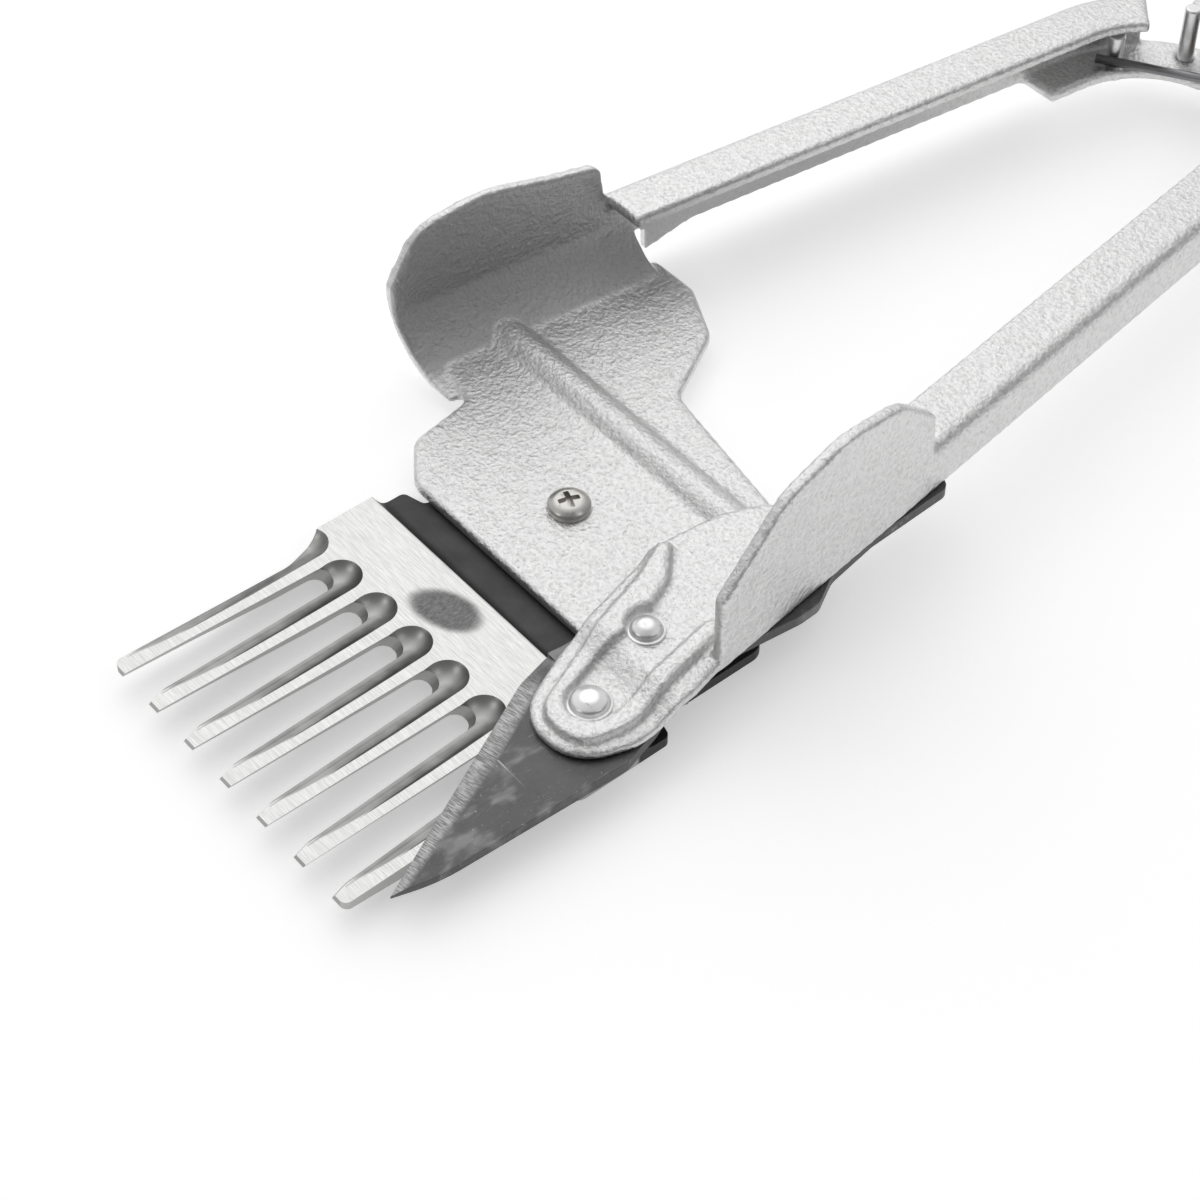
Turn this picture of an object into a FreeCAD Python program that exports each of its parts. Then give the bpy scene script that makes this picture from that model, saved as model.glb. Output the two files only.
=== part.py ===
import FreeCAD
import Part
import Sketcher
import math
import os

# Hand sheep shears with a fixed comb and one swinging blade, in millimetres.
# Frame: +X to the right across the comb, +Y from the tooth tips back to the hinge, +Z up.
# Origin: middle of the comb's flat underside, which slides on the skin and on which the shears rest.
# The shears are modelled fully open.

SIZES = (
    ("tooth_pitch", 12.0, "tooth spacing at the tips"),
    ("root_fan", 0.967, "tooth spacing at the roots as a share of the spacing at the tips"),
    ("tip_reach", 61.0, "tooth tips in front of the origin"),
    ("slot_root", 14.0, "slot roots in front of the origin"),
    ("slot_root_radius", 2.7, "rounded root of a slot"),
    ("slot_mouth", 7.9, "slot width at the teeth's necks"),
    ("neck", 57.0, "where each tooth starts to narrow to its tip, in front of the origin"),
    ("tooth_lean", 0.6, "how far the teeth's sides lean to the left per unit of depth"),
    ("comb_half", 42.5, "half width of the comb body"),
    ("comb_high", 6.5, "ground top face of the comb"),
    ("tip_thick", 1.9, "tooth thickness at the tip"),
    ("wheel_radius", 5.2, "round wheel that grinds the hollow beside each tooth"),
    ("hollow_root_depth", 2.5, "depth of that hollow at the slot's root"),
    ("hollow_tip_depth", 0.1, "depth of that hollow near the tip"),
    ("tongue_high", 2.5, "top of the tongue, and underside of the clamp plate"),
    ("tongue_half", 37.0, "half width of the tongue"),
    ("tongue_back", 43.0, "rear end of the tongue"),
    ("groove_front", 4.7, "front edge of the hollow behind the ground face"),
    ("plate_thick", 3.0, "clamp plate thickness"),
    ("plate_front", 14.5, "front edge of the clamp plate"),
    ("plate_right", 26.0, "right edge of the clamp plate, under the arm"),
    ("bead_radius", 5.0, "section radius of the stiffening bead"),
    ("bead_rise", 2.4, "height of the bead above the plate"),
    ("bead_back", 58.0, "bead centre line"),
    ("screw_side", 15.0, "comb screws either side of the middle"),
    ("screw_back", 34.6, "comb screws behind the origin"),
    ("screw_radius", 2.5, "comb screw thread"),
    ("screw_head_radius", 4.6, "comb screw head"),
    ("screw_head_high", 2.7, "comb screw head height"),
    ("wall_thick", 3.0, "thickness of guards and handles"),
    ("wall_out", 61.0, "guard's outer face from the middle plane, at the guard's front"),
    ("wall_front", 30.5, "where that distance is measured"),
    ("wall_taper", 0.136, "how much the handles close towards each other per unit length"),
    ("middle", -19.0, "plane midway between the two handles, through the hinge"),
    ("bow_centre", 213.0, "centre of the rear bow"),
    ("bow_end", 48.0, "angle from the hinge at which each bow's side wall ends, degrees"),
    ("handle_front", 90.0, "front end of the folded handle"),
    ("handle_low", 11.7, "lower edge of the right handle, flush with the arm's underside"),
    ("handle_high", 24.0, "top of the handles"),
    ("handle_deep", 13.0, "width of the handle's folded top"),
    ("bend_radius", 2.8, "outer radius of the handle's fold"),
    ("lug_low", 7.6, "underside of the lower hinge lug"),
    ("lug_radius", 12.0, "hinge lugs"),
    ("hinge_radius", 4.0, "hinge bolt shank"),
    ("running_gap", 0.05, "clearance of moving round fits, on the radius"),
    ("blade_low", 6.7, "blade underside over the comb"),
    ("blade_thick", 2.6, "blade thickness"),
    ("blade_crank", 2.4, "how far the blade's tail and the arm step up behind the comb"),
    ("nose_thick", 2.2, "arm thickness at the nose"),
    ("arm_thick", 2.6, "arm thickness behind the step"),
    ("rib_rise", 2.0, "height of the arm's U-shaped rib"),
    ("rivet_radius", 2.5, "rivet shanks"),
    ("rivet_collar", 0.6, "width of the collar round a rivet's dome"),
    ("seat_radius", 4.7, "spot face under the rear rivet, cut into the rib"),
    ("seat_deep", 0.4, "depth of that spot face below the arm's top"),
    ("spring_wire", 2.2, "return spring wire"),
    ("coil_radius", 8.6, "return spring coil, to the middle of the wire"),
    ("coil_turns", 2.0, "full turns of the return spring, before the part turn between its legs"),
    ("coil_low", 12.45, "middle of the lowest turn"),
    ("coil_pitch", 2.3, "rise of one turn"),
    ("post_radius", 2.0, "spring posts and stop pin"),
)

doc = FreeCAD.newDocument("sheep_shears")
sheet = doc.addObject("Spreadsheet::Sheet", "Sizes")
for line, (alias, value, note) in enumerate(SIZES, start=1):
    sheet.set(f"A{line}", note)
    sheet.set(f"B{line}", str(value))
    sheet.setAlias(f"B{line}", alias)
doc.recompute()


def size(alias):
    return float(sheet.get(alias))


middle = size("middle")
bow_centre = size("bow_centre")
lean = math.hypot(1.0, size("wall_taper"))
outward = (1.0 / lean, size("wall_taper") / lean)
# The bow's arc is tangent to the outer face of each handle.
bow_radius = (size("wall_out") * outward[0]
              + (size("wall_front") - bow_centre) * outward[1])
hinge_back = bow_centre + bow_radius - size("wall_thick") / 2.0
plate_high = size("tongue_high") + size("plate_thick")
blade_high = size("blade_low") + size("blade_thick")
arm_low = blade_high + size("blade_crank")
arm_high = arm_low + size("arm_thick")
nose_high = blade_high + size("nose_thick")
front_rivet = (32.4, 0.9)
rear_rivet = (26.8, 19.8)
# The blade and the arm step up between these two distances behind the origin, with this radius.
crank_front = 8.5
crank_back = 14.5
crank_bend = 8.0
# Height of a cut or a plane that clears everything.
CLEAR = 80.0


# ---------------------------------------------------------------- drawing helpers

def new_body(label):
    body = doc.addObject("PartDesign::Body", label)
    body.Label = label
    return body


def sketch_on(body, name, role, lift="0"):
    """Sketch on one of the body's own origin planes, lifted along the plane's normal."""
    sketch = body.newObject("Sketcher::SketchObject", name)
    plane = next(item for item in body.Origin.OriginFeatures if item.Role == role)
    sketch.AttachmentSupport = [(plane, "")]
    sketch.MapMode = "FlatFace"
    sketch.setExpression("AttachmentOffset.Base.z", lift)
    return sketch


def flat(x, y):
    return FreeCAD.Vector(x, y, 0.0)


def trace(sketch, corners):
    """Closed outline through (x, y) or (x, y, radius) corners; a radius rounds its corner."""
    count = len(corners)
    starts = []
    ends = []
    arcs = []
    for index, corner in enumerate(corners):
        here = flat(*corner[:2])
        back = (flat(*corners[index - 1][:2]) - here).normalize()
        ahead = (flat(*corners[(index + 1) % count][:2]) - here).normalize()
        if len(corner) == 2:
            starts.append(here)
            ends.append(here)
            arcs.append(None)
            continue
        half = back.getAngle(ahead) / 2.0
        reach = corner[2] / math.tan(half)
        inward = (back + ahead).normalize()
        centre = here + inward * (corner[2] / math.sin(half))
        starts.append(here + back * reach)
        ends.append(here + ahead * reach)
        arcs.append(Part.Arc(starts[-1], centre - inward * corner[2], ends[-1]))
    for index in range(count):
        if arcs[index]:
            sketch.addGeometry(arcs[index], False)
        sketch.addGeometry(Part.LineSegment(ends[index], starts[(index + 1) % count]), False)


def arc_and_lines(sketch, first, through, last, corners):
    """Outline of one arc, then straight runs back to its start through the corners."""
    sketch.addGeometry(Part.Arc(flat(*first), flat(*through), flat(*last)), False)
    stops = [last] + corners + [first]
    for here, ahead in zip(stops, stops[1:]):
        sketch.addGeometry(Part.LineSegment(flat(*here), flat(*ahead)), False)


def disc(sketch, x, y, radius):
    """Circle whose radius is bound to the sheet."""
    ring = sketch.addGeometry(Part.Circle(flat(x, y), FreeCAD.Vector(0, 0, 1), 1.0), False)
    constraint = sketch.addConstraint(Sketcher.Constraint("Radius", ring, 1.0))
    sketch.setExpression(f"Constraints[{constraint}]", radius)


def pad(body, sketch, name, length, backwards=False):
    feature = body.newObject("PartDesign::Pad", name)
    feature.Profile = sketch
    feature.setExpression("Length", length)
    feature.Reversed = backwards
    sketch.Visibility = False
    doc.recompute()
    return feature


def cut(body, sketch, name, length):
    """Pocket that is turned round if it first points away from the solid."""
    before = body.Shape.Volume
    feature = body.newObject("PartDesign::Pocket", name)
    feature.Profile = sketch
    feature.setExpression("Length", length)
    doc.recompute()
    if before - body.Shape.Volume < 0.01:
        feature.Reversed = True
        doc.recompute()
    if before - body.Shape.Volume < 0.01:
        raise ValueError(f"{name} removes nothing")
    return feature


def on_outer_top(side):
    """Test for the top outer edge of a folded handle."""
    def wanted(edge):
        if min(vertex.Y for vertex in edge.Vertexes) < size("handle_front") - 0.6:
            return False
        for vertex in edge.Vertexes:
            if abs(vertex.Z - size("handle_high")) > 0.01:
                return False
            straight = side * (vertex.X - middle) - side * (handle_point(side, vertex.Y)[0] - middle)
            round_about = math.hypot(vertex.X - middle, vertex.Y - bow_centre) - bow_radius
            if abs(straight) > 0.02 and abs(round_about) > 0.02:
                return False
        return True
    return wanted


def soften(body, name, radius, wanted):
    """Fillet on the edges that the test picks out."""
    base = body.Tip
    names = [f"Edge{number}" for number, edge in enumerate(base.Shape.Edges, start=1) if wanted(edge)]
    feature = body.newObject("PartDesign::Fillet", name)
    feature.Base = (base, names)
    feature.setExpression("Radius", radius)
    doc.recompute()
    return feature


def boolean(kind, label, base, tool):
    """Part::Cut or Part::Common of two objects."""
    result = doc.addObject(kind, label)
    result.Label = label
    result.Base = base
    result.Tool = tool
    doc.recompute()
    return result


def joined(label, objects):
    result = doc.addObject("Part::MultiFuse", label)
    result.Label = label
    result.Shapes = objects
    doc.recompute()
    return result


def cylinder(name, radius, height, x, y, z):
    """Upright Part::Cylinder; radius, height and foot are formulas on the sheet or plain places."""
    solid = doc.addObject("Part::Cylinder", name)
    solid.Label = name
    solid.setExpression("Radius", radius)
    solid.setExpression("Height", height)
    solid.Placement.Base = FreeCAD.Vector(x, y, 0.0)
    solid.setExpression("Placement.Base.z", z)
    return solid


# ---------------------------------------------------------------- where the handles run

def handle_point(side, back, inset=0.0):
    """Point on a handle's straight outer face, moved inwards by inset. side is 1 right, -1 left."""
    gap = size("wall_out") - size("wall_taper") * (back - size("wall_front")) - inset * lean
    return (middle + side * gap, back)


def bow_point(side, angle, inset=0.0):
    """Point on the rear bow, at an angle in degrees measured from the hinge."""
    turn = math.radians(angle)
    radius = bow_radius - inset
    return (middle + side * radius * math.sin(turn), bow_centre + radius * math.cos(turn))


def handle_strip(sketch, side, front, end_angle, deep):
    """Outline of a strip of the given depth along the handle and round its bow."""
    tangent_angle = math.degrees(math.atan2(outward[0], outward[1]))
    mid_angle = (tangent_angle + end_angle) / 2.0
    outer = [flat(*bow_point(side, angle)) for angle in (tangent_angle, mid_angle, end_angle)]
    inner = [flat(*bow_point(side, angle, deep)) for angle in (tangent_angle, mid_angle, end_angle)]
    outer_front = flat(*handle_point(side, front))
    inner_front = flat(*handle_point(side, front, deep))
    sketch.addGeometry(Part.LineSegment(outer_front, outer[0]), False)
    sketch.addGeometry(Part.Arc(*outer), False)
    sketch.addGeometry(Part.LineSegment(outer[2], inner[2]), False)
    sketch.addGeometry(Part.Arc(*inner), False)
    sketch.addGeometry(Part.LineSegment(inner[0], inner_front), False)
    sketch.addGeometry(Part.LineSegment(inner_front, outer_front), False)


# ---------------------------------------------------------------- comb

def build_comb():
    """Forged steel comb: ground top, seven tapered teeth, and a tongue under the clamp plate."""
    blank = new_body("comb_blank")
    tips = size("tip_reach")
    half = size("comb_half")
    tongue = size("tongue_half")
    back = size("tongue_back")
    outline = sketch_on(blank, "comb_outline", "XY_Plane")
    trace(outline, [(37.6, -tips, 1.6), (37.0, -19.0, 7.0), (half, -9.0, 3.0), (half, 12.5, 1.5),
                    (tongue, 14.0, 1.5), (tongue, back, 4.0), (-tongue, back, 4.0), (-tongue, 14.0, 1.5),
                    (-half, 12.5, 1.5), (-half, -9.0, 3.0), (-39.2, -19.0, 7.0), (-38.5, -tips, 1.6)])
    pad(blank, outline, "comb_pad", "Sizes.comb_high")

    # The teeth lean: both walls of every slot run down to the left, so a tooth's right side is undercut.
    slots = sketch_on(blank, "tooth_slots", "XY_Plane", "Sizes.comb_high")
    beyond = 5.0
    root_y = -size("slot_root")
    root = size("slot_root_radius")
    neck_y = -size("neck")
    neck = size("slot_mouth") / 2.0
    mouth_y = -tips - beyond
    run_on = (mouth_y - root_y) / (neck_y - root_y)
    for number in range(6):
        root_x = (number - 2.5) * size("tooth_pitch") * size("root_fan") - 1.25
        neck_x = (number - 2.5) * size("tooth_pitch") - 0.45
        root_left = root_x - root
        mouth_left = root_left + (neck_x - neck - root_left) * run_on
        trace(slots, [(mouth_left, mouth_y), (neck_x + neck + 2.5, mouth_y), (neck_x + neck, neck_y, 4.0),
                      (root_x + root, root_y, root * 0.94), (root_left, root_y, root * 0.94)])
    slanted = cut(blank, slots, "slots_cut", "2 * Sizes.comb_high")
    slanted.UseCustomVector = True
    slanted.Direction = FreeCAD.Vector(-size("tooth_lean"), 0.0, -1.0)
    doc.recompute()

    back = size("groove_front")
    low = size("tongue_high")
    hollow = sketch_on(blank, "rear_hollow", "YZ_Plane", "-Sizes.comb_half - 5")
    trace(hollow, [(back, 10.0), (back, 6.2), (back + 2.6, low, 3.0), (60.0, low), (60.0, 10.0)])
    cut(blank, hollow, "hollow_cut", "2 * Sizes.comb_half + 10")

    under = sketch_on(blank, "tooth_undercut", "YZ_Plane", "-Sizes.comb_half - 5")
    tip_low = size("comb_high") - size("tip_thick")
    trace(under, [(-tips - beyond, -1.0), (-24.0, -1.0), (-24.0, 0.0), (-45.0, 3.3, 20.0),
                  (-tips, tip_low), (-tips - beyond, tip_low)])
    cut(blank, under, "undercut_cut", "2 * Sizes.comb_half + 10")

    # A round wheel grinds a hollow beside each tooth: deep at the slot's root, running out at the tip.
    wheel = size("wheel_radius")
    root_high = size("comb_high") + wheel - size("hollow_root_depth")
    tip_high = size("comb_high") + wheel - size("hollow_tip_depth")
    hollows = []
    for number in range(7):
        tooth = (number - 3.0) * size("tooth_pitch")
        start = FreeCAD.Vector(tooth * size("root_fan") - 5.5, -size("slot_root") + 0.6, root_high)
        end = FreeCAD.Vector(tooth - 2.45, -tips + 3.0, tip_high)
        turn = FreeCAD.Rotation(FreeCAD.Vector(0, 0, 1), end - start)
        barrel = doc.addObject("Part::Cylinder", f"hollow_barrel_{number}")
        barrel.setExpression("Radius", "Sizes.wheel_radius")
        barrel.Height = (end - start).Length
        barrel.Placement = FreeCAD.Placement(start, turn)
        ball = doc.addObject("Part::Sphere", f"hollow_ball_{number}")
        ball.setExpression("Radius", "Sizes.wheel_radius")
        ball.Placement = FreeCAD.Placement(start, turn)
        hollows += [barrel, ball]
    ground = boolean("Part::Cut", "comb_ground", blank, joined("hollows", hollows))

    holes = [cylinder(f"comb_hole_{side}", "Sizes.screw_radius", "Sizes.comb_high",
                      side * size("screw_side"), size("screw_back"), "-1") for side in (1, -1)]
    return boolean("Part::Cut", "comb", ground, joined("comb_holes", holes))


def build_comb_screws():
    """Two pan-head screws with cross recesses, through the clamp plate into the comb's tongue."""
    screws = []
    for side in (1, -1):
        x = side * size("screw_side")
        y = size("screw_back")
        screw = new_body(f"comb_screw_{side}")
        section = sketch_on(screw, f"screw_section_{side}", "XZ_Plane")
        shank = size("screw_radius") - 0.02
        head = size("screw_head_radius")
        top = plate_high + size("screw_head_high")
        trace(section, [(0.0, 0.3), (shank, 0.3), (shank, plate_high), (head, plate_high),
                        (head, plate_high + 1.3, 1.0), (head * 0.7, top - 0.4, 2.5), (0.0, top)])
        spun = screw.newObject("PartDesign::Revolution", f"screw_turned_{side}")
        spun.Profile = section
        spun.ReferenceAxis = (section, ["V_Axis"])
        spun.Angle = 360.0
        doc.recompute()
        cross = sketch_on(screw, f"cross_{side}", "XY_Plane", str(top))
        arm = 2.3
        web = 0.55
        trace(cross, [(-arm, -web), (-web, -web), (-web, -arm), (web, -arm), (web, -web), (arm, -web),
                      (arm, web), (web, web), (web, arm), (-web, arm), (-web, web), (-arm, web)])
        cut(screw, cross, f"cross_cut_{side}", "1.7")
        screw.Placement.Base = FreeCAD.Vector(x, y, 0)
        screw.Placement.Rotation = FreeCAD.Rotation(FreeCAD.Vector(0, 0, 1), 20.0 * side)
        screws.append(screw)
    return joined("comb_screws", screws)


# ---------------------------------------------------------------- comb carrier (left half)

def guard_top(peak, notch, front, front_high):
    """Side view above a guard: what is cut away over its arched top edge and its folded handle."""
    return [(front - 15.0, 80.0), (front - 15.0, front_high - 12.0), (front, front_high, 3.0),
            (43.0, peak - 3.0, 12.0), (60.0, peak, 26.0), (77.0, peak - 3.5, 12.0), (87.0, notch, 2.0),
            (88.6, notch - 1.5), (89.5, size("handle_high")), (280.0, size("handle_high")), (280.0, 80.0)]


def build_comb_carrier():
    """Cast left half: clamp plate with bead, left guard, left handle and the lower hinge lug."""
    carrier = new_body("comb_carrier")
    front = size("plate_front")
    plate = sketch_on(carrier, "plate_outline", "XY_Plane", "Sizes.tongue_high")
    trace(plate, [(-41.5, front, 6.0), (size("plate_right"), front, 3.0), (size("plate_right"), 65.0, 3.0),
                  (8.0, 68.0, 8.0), (-26.0, 74.0, 5.0), (-36.0, 92.0, 6.0), (-50.0, 99.0, 6.0),
                  (-66.0, 99.0), (-66.0, 42.0, 3.0), (-54.0, 38.0, 3.0), (-51.5, 22.0, 5.0)])
    pad(carrier, plate, "plate_pad", "Sizes.plate_thick")

    strip = sketch_on(carrier, "left_strip", "XY_Plane", "Sizes.tongue_high")
    handle_strip(strip, -1, 36.0, size("bow_end"), size("wall_thick"))
    pad(carrier, strip, "left_wall", "50")
    above = sketch_on(carrier, "left_top_view", "YZ_Plane", "-100")
    trace(above, guard_top(38.0, 33.0, 36.0, 22.0))
    cut(carrier, above, "left_top", "200")
    below = sketch_on(carrier, "left_bottom_view", "YZ_Plane", "-100")
    trace(below, [(96.0, -5.0), (96.0, 2.5, 4.0), (112.0, size("lug_low"), 6.0), (280.0, size("lug_low")),
                  (280.0, -5.0)])
    cut(carrier, below, "left_bottom", "200")

    roof = sketch_on(carrier, "left_roof", "XY_Plane", "Sizes.handle_high - Sizes.wall_thick")
    handle_strip(roof, -1, size("handle_front"), size("bow_end"), size("handle_deep"))
    pad(carrier, roof, "left_roof_pad", "Sizes.wall_thick")
    soften(carrier, "left_fold", "Sizes.bend_radius", on_outer_top(-1))
    floor = sketch_on(carrier, "left_floor", "XY_Plane", "Sizes.lug_low")
    handle_strip(floor, -1, 205.0, 12.0, size("handle_deep"))
    pad(carrier, floor, "left_floor_pad", "Sizes.wall_thick")
    lug = sketch_on(carrier, "lower_lug", "XY_Plane", "Sizes.lug_low")
    disc(lug, middle, hinge_back, "Sizes.lug_radius")
    pad(carrier, lug, "lower_lug_pad", "Sizes.wall_thick")

    # The floor of the guard sweeps up into its wall in one wide hollow.
    fill = sketch_on(carrier, "left_fill_view", "XZ_Plane", "-36")
    wall = handle_point(-1, 36.0, 1.0)[0]
    sweep = 21.0
    low = size("tongue_high")
    foot = (wall + sweep, plate_high - 1.5)
    bulge = (wall + sweep * 0.30, plate_high + sweep * 0.19)
    head = (wall, plate_high + sweep * 0.8)
    arc_and_lines(fill, foot, bulge, head, [(wall, low), (wall + sweep, low)])
    gusset = pad(carrier, fill, "left_fill", "60")
    gusset.UseCustomVector = True
    gusset.Direction = FreeCAD.Vector(size("wall_taper"), 1.0, 0.0)
    doc.recompute()
    # Outside, the same sweep is rounded off a wall's thickness further out.
    relief = sketch_on(carrier, "left_relief_view", "XZ_Plane", "-20")
    skin = handle_point(-1, 20.0)[0]
    beyond = 9.0
    shoulder = low + sweep * 0.8
    arc_and_lines(relief, (skin, shoulder), (skin + sweep * 0.27, low + sweep * 0.21), (skin + sweep, low),
                  [(skin + sweep, -beyond), (skin - beyond, -beyond), (skin - beyond, shoulder)])
    rounded = cut(carrier, relief, "left_relief", "80")
    rounded.UseCustomVector = True
    rounded.Direction = FreeCAD.Vector(size("wall_taper"), 1.0, 0.0)
    doc.recompute()

    bead = sketch_on(carrier, "bead_section", "YZ_Plane", "-66")
    radius = size("bead_radius")
    drop = plate_high + size("bead_rise") - radius
    spread = math.sqrt(radius ** 2 - (plate_high - drop) ** 2)
    bead_back = size("bead_back")
    front_foot = bead_back - spread
    back_foot = bead_back + spread
    arc_and_lines(bead, (front_foot, plate_high), (bead_back, plate_high + size("bead_rise")),
                  (back_foot, plate_high), [(back_foot, plate_high - 1.0), (front_foot, plate_high - 1.0)])
    pad(carrier, bead, "bead_pad", "66 + Sizes.plate_right")

    holes = sketch_on(carrier, "left_holes", "XY_Plane", "Sizes.lug_low + Sizes.wall_thick + 1")
    disc(holes, middle, hinge_back, "Sizes.hinge_radius")
    disc(holes, *stop_place(), "Sizes.post_radius")
    disc(holes, *post_place(-1), "Sizes.post_radius")
    cut(carrier, holes, "left_holes_cut", "Sizes.wall_thick + 2")
    screw_holes = sketch_on(carrier, "plate_holes", "XY_Plane", "Sizes.tongue_high - 1")
    for side in (1, -1):
        disc(screw_holes, side * size("screw_side"), size("screw_back"), "Sizes.screw_radius + 0.2")
    cut(carrier, screw_holes, "plate_holes_cut", "Sizes.plate_thick + 2")
    return carrier


def post_place(side):
    """Centre of a spring post, on the bow's flange."""
    return bow_point(side, 62.0, 8.5)


def stop_place():
    """Centre of the stop pin, in the lower lug's arm."""
    return (middle - 14.4, hinge_back - 7.2)


# ---------------------------------------------------------------- blade carrier (right half)

ARM = [(42.4, 25.0), (44.4, 17.0, 12.0), (45.5, 2.0, 10.0), (41.5, -10.6, 11.0), (25.8, -11.4, 11.0),
       (18.6, 4.5, 8.0), (12.2, 29.8, 6.0), (10.2, 34.5, 3.0), (11.9, 51.5, 4.0), (15.5, 60.0, 5.0),
       (27.0, 74.0, 10.0), (30.0, 92.0)]
RIB = [(11.4, 35.4, 1.0), (15.2, 28.0, 6.0), (22.0, 6.0, 9.0), (28.6, -9.2, 7.0), (40.3, -7.6, 6.4),
       (42.4, 3.0, 8.0), (37.0, 31.0, 1.5), (32.8, 31.0, 1.5), (38.0, 3.0, 6.0), (37.5, -3.6, 4.6),
       (29.2, -4.4, 4.6), (25.2, 8.5, 6.0), (25.0, 20.0, 6.0), (20.4, 31.0, 6.0), (12.6, 38.4, 1.0)]


def side_view(body, name, outline, start, length):
    """Outline drawn in side view and padded across the shears."""
    view = sketch_on(body, name, "YZ_Plane", str(start))
    trace(view, outline)
    return pad(body, view, name + "_pad", str(length))


def trim_to(body, name, outline):
    """Cuts away what lies outside an outline in plan."""
    around = sketch_on(body, name, "XY_Plane", "-1")
    trace(around, [(-60.0, -90.0), (110.0, -90.0), (110.0, 140.0), (-60.0, 140.0)])
    trace(around, outline)
    return cut(body, around, name + "_cut", "30")


def build_blade_carrier():
    """Cast right half: arm with its U-shaped rib, right guard, right handle and the upper hinge lug."""
    carrier = new_body("blade_carrier")
    side_view(carrier, "arm_view",
              [(-30.0, blade_high), (crank_front, blade_high, crank_bend), (crank_back, arm_low, crank_bend),
               (93.0, arm_low), (93.0, arm_high), (crank_back - 1.0, arm_high, crank_bend),
               (crank_front - 1.0, nose_high, crank_bend), (-30.0, nose_high)], 0.0, 60.0)
    trim_to(carrier, "arm_outline", ARM)

    # The rib follows the arm's outline round the nose and steps up with it.
    rib = sketch_on(carrier, "rib_outline", "XY_Plane", str(nose_high - 0.5))
    trace(rib, RIB)
    rib_high = arm_high + size("rib_rise")
    pad(carrier, rib, "rib_pad", str(rib_high - nose_high + 0.5))
    over = sketch_on(carrier, "rib_top_view", "YZ_Plane", "0")
    nose_rib = nose_high + size("rib_rise")
    trace(over, [(-30.0, CLEAR), (-30.0, nose_rib), (crank_front - 1.0, nose_rib, crank_bend),
                 (crank_back - 1.0, rib_high, crank_bend), (34.0, rib_high), (34.0, CLEAR)])
    cut(carrier, over, "rib_top", "60")
    under = sketch_on(carrier, "arm_under_view", "YZ_Plane", "0")
    trace(under, [(-30.0, 0.0), (60.0, 0.0), (60.0, arm_low), (crank_back, arm_low, crank_bend),
                  (crank_front, blade_high, crank_bend), (-30.0, blade_high)])
    cut(carrier, under, "arm_under", "60")

    strip = sketch_on(carrier, "right_strip", "XY_Plane", "Sizes.handle_low")
    handle_strip(strip, 1, 25.0, size("bow_end"), size("wall_thick"))
    pad(carrier, strip, "right_wall", "40")
    above = sketch_on(carrier, "right_top_view", "YZ_Plane", "-50")
    trace(above, guard_top(48.6, 36.0, 26.5, 32.0))
    cut(carrier, above, "right_top", "200")
    roof = sketch_on(carrier, "right_roof", "XY_Plane", "Sizes.handle_high - Sizes.wall_thick")
    handle_strip(roof, 1, size("handle_front"), 12.0, size("handle_deep"))
    pad(carrier, roof, "right_roof_pad", "Sizes.wall_thick")
    soften(carrier, "right_fold", "Sizes.bend_radius", on_outer_top(1))
    lug = sketch_on(carrier, "upper_lug", "XY_Plane", "Sizes.handle_high - Sizes.wall_thick")
    disc(lug, middle, hinge_back, "Sizes.lug_radius")
    pad(carrier, lug, "upper_lug_pad", "Sizes.wall_thick")
    tab = sketch_on(carrier, "stop_tab", "XY_Plane", "Sizes.handle_high - Sizes.wall_thick")
    stop_x, stop_y = stop_place()
    edge = stop_y + size("post_radius") + 0.1
    trace(tab, [(stop_x - 3.0, edge, 1.0), (middle, edge), (middle, edge + 8.0),
                (stop_x - 3.0, edge + 8.0, 3.0)])
    pad(carrier, tab, "stop_tab_pad", "Sizes.wall_thick")

    holes = sketch_on(carrier, "right_holes", "XY_Plane", "Sizes.handle_high + 1")
    disc(holes, middle, hinge_back, "Sizes.hinge_radius + Sizes.running_gap")
    disc(holes, *post_place(1), "Sizes.post_radius")
    cut(carrier, holes, "right_holes_cut", "Sizes.wall_thick + 2")
    rivet_holes = sketch_on(carrier, "arm_holes", "XY_Plane", "Sizes.handle_high")
    for rivet in (front_rivet, rear_rivet):
        disc(rivet_holes, *rivet, "Sizes.rivet_radius")
    cut(carrier, rivet_holes, "arm_holes_cut", "Sizes.handle_high")
    # The rear rivet sits in a spot face, cut a little behind the rivet's own centre.
    spot = sketch_on(carrier, "rear_seat", "XY_Plane", str(CLEAR))
    disc(spot, rear_rivet[0] + 0.1, rear_rivet[1] + 0.75, "Sizes.seat_radius")
    cut(carrier, spot, "rear_seat_cut", str(CLEAR - arm_high + size("seat_deep")))
    return carrier


BLADE = [(41.8, -53.8), (44.6, -45.0, 40.0), (45.6, -24.0, 30.0), (46.6, -1.6, 8.0), (44.0, 7.5, 6.0),
         (41.6, 14.3, 0.8), (43.0, 16.6, 0.8), (40.2, 20.2, 2.0), (39.8, 31.7, 8.0), (41.6, 47.0, 8.0),
         (41.4, 52.0, 4.0), (37.5, 59.0, 8.0), (35.4, 72.0, 10.0), (34.6, 94.0, 2.6), (27.5, 97.0, 2.6),
         (25.0, 72.0, 12.0), (21.0, 45.0, 20.0), (17.5, 18.0, 12.0), (15.7, 4.0, 6.0), (17.2, -4.0, 8.0)]


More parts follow.
